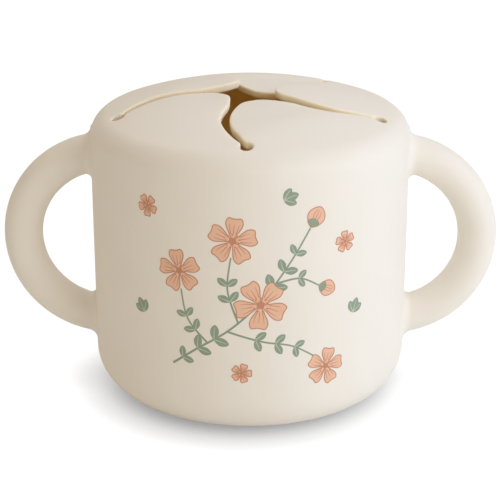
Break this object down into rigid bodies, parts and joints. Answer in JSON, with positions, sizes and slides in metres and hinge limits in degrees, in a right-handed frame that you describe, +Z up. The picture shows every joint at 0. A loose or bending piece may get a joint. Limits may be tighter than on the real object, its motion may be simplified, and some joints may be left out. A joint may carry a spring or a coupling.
{
  "type": "toddler snack cup",
  "caption": "Round soft silicone snack cup with loop handles and a domed top slit into pinwheel petals that a small hand can push through.",
  "frame": {"origin": "middle of the flat base, on the surface the cup stands on", "axes": "+Z up along the cup's axis, +X towards the right handle, -Y towards the front of the picture"},
  "size_m": [0.1548, 0.098, 0.095],
  "materials": {
    "silicone": "soft matte, moulded silicone"
  },
  "bodies": {
    "cup": {"cup_base": "silicone", "cup_wall": "silicone", "top_ring": "silicone", "handle_left": "silicone", "handle_right": "silicone"},
    "petal_front_right": {"petal_front_right": "silicone"},
    "petal_right": {"petal_right": "silicone"},
    "petal_back": {"petal_back": "silicone"},
    "petal_left": {"petal_left": "silicone"},
    "petal_front_left": {"petal_front_left": "silicone"}
  },
  "joints": [
    {"name": "petal_front_right_hinge", "type": "hinge", "parent": "cup", "child": "petal_front_right", "pos_m": [0.01917, -0.02727, 0.08887], "axis": [-0.8181, -0.575, 0], "range_deg": [-29.5, 50.5], "stiffness_Nm_per_rad": 0.01, "springref_deg": -1.43},
    {"name": "petal_right_hinge", "type": "hinge", "parent": "cup", "child": "petal_right", "pos_m": [0.03186, 0.0098, 0.08887], "axis": [0.294, -0.9558, 0], "range_deg": [-25.5, 54.5], "stiffness_Nm_per_rad": 0.01, "springref_deg": -1.43},
    {"name": "petal_back_hinge", "type": "hinge", "parent": "cup", "child": "petal_back", "pos_m": [0.00052, 0.03333, 0.08887], "axis": [0.9999, -0.0157, 0], "range_deg": [-33, 47], "stiffness_Nm_per_rad": 0.01, "springref_deg": -1.43},
    {"name": "petal_left_hinge", "type": "hinge", "parent": "cup", "child": "petal_left", "pos_m": [-0.03153, 0.0108, 0.08887], "axis": [0.3239, 0.9461, 0], "range_deg": [-25.5, 54.5], "stiffness_Nm_per_rad": 0.01, "springref_deg": -1.43},
    {"name": "petal_front_left_hinge", "type": "hinge", "parent": "cup", "child": "petal_front_left", "pos_m": [-0.02001, -0.02666, 0.08887], "axis": [-0.7997, 0.6004, 0], "range_deg": [-27, 53], "stiffness_Nm_per_rad": 0.01, "springref_deg": -1.43}
  ]
}
